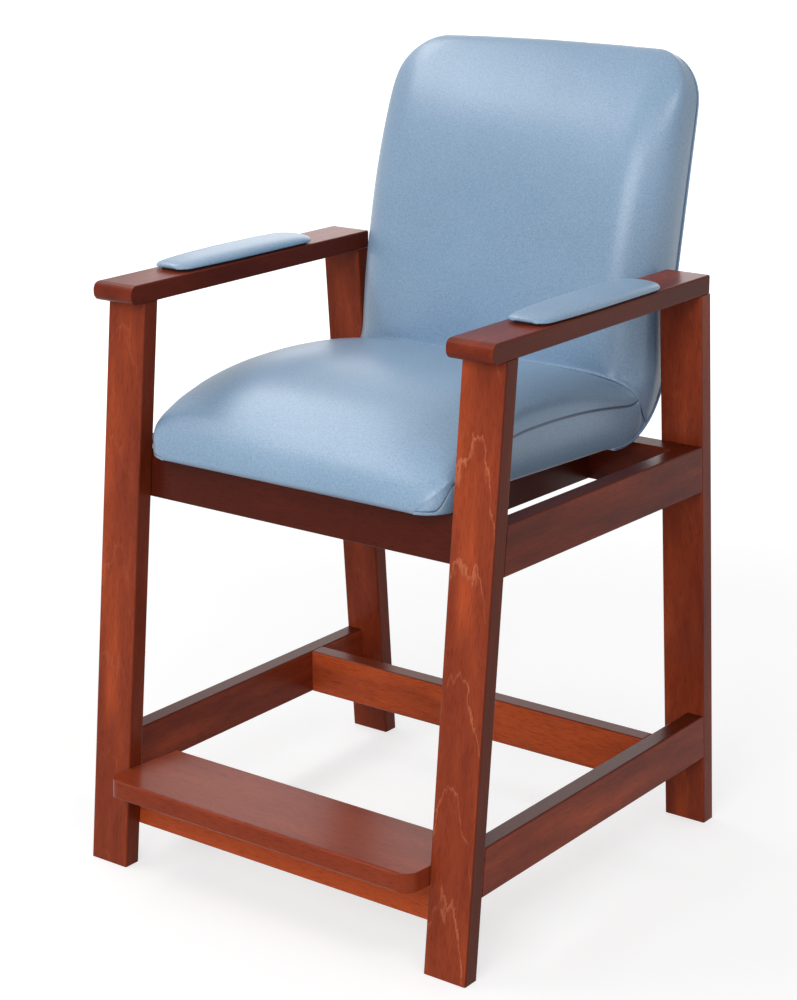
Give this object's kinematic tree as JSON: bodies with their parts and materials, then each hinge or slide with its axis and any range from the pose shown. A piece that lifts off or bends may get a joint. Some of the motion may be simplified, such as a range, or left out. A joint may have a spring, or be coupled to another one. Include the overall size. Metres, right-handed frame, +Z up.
{
  "type": "hip chair",
  "caption": "High armchair with a splayed wood frame, a padded seat and back on a bent shell, padded arms and a low footrest board.",
  "frame": {"origin": "on the floor, at the middle of the chair's outline seen from above", "axes": "+Z up, +X to the sitter's left, -Y to the front where the sitter's feet go"},
  "size_m": [0.6224, 0.6707, 1.0522],
  "materials": {
    "frame_wood": "mahogany stain under satin lacquer",
    "vinyl": "powder blue vinyl with a fine pebble grain",
    "plywood": "bare bent plywood",
    "foam": "open-cell foam",
    "pad_board": "black board",
    "dowel": "bare beech",
    "steel": "zinc plated"
  },
  "bodies": {
    "root": {"front_leg_left": "frame_wood", "front_leg_right": "frame_wood", "rear_leg_left": "frame_wood", "rear_leg_right": "frame_wood", "arm_left": "frame_wood", "arm_right": "frame_wood", "side_rail_left": "frame_wood", "side_rail_right": "frame_wood", "front_seat_rail": "frame_wood", "rear_seat_rail": "frame_wood", "seat_runner_left": "frame_wood", "seat_runner_right": "frame_wood", "side_stretcher_left": "frame_wood", "side_stretcher_right": "frame_wood", "rear_stretcher": "frame_wood", "front_stretcher": "frame_wood", "footrest_board": "frame_wood", "seat_shell": "plywood", "seat_cover": "vinyl", "seat_foam": "foam", "back_cover": "vinyl", "back_foam": "foam", "back_panel": "vinyl", "arm_pad_left": "vinyl", "arm_pad_right": "vinyl", "arm_pad_base_left": "pad_board", "arm_pad_base_right": "pad_board", "arm_dowels": "dowel", "side_rail_dowels": "dowel", "cross_rail_dowels": "dowel", "runner_dowels": "dowel", "side_stretcher_dowels": "dowel", "rear_stretcher_dowels": "dowel", "footrest_dowels": "dowel", "front_stretcher_screws": "steel", "footrest_screws": "steel", "arm_pad_screws": "steel", "seat_bolts": "steel", "seat_inserts": "steel"}
  },
  "joints": []
}
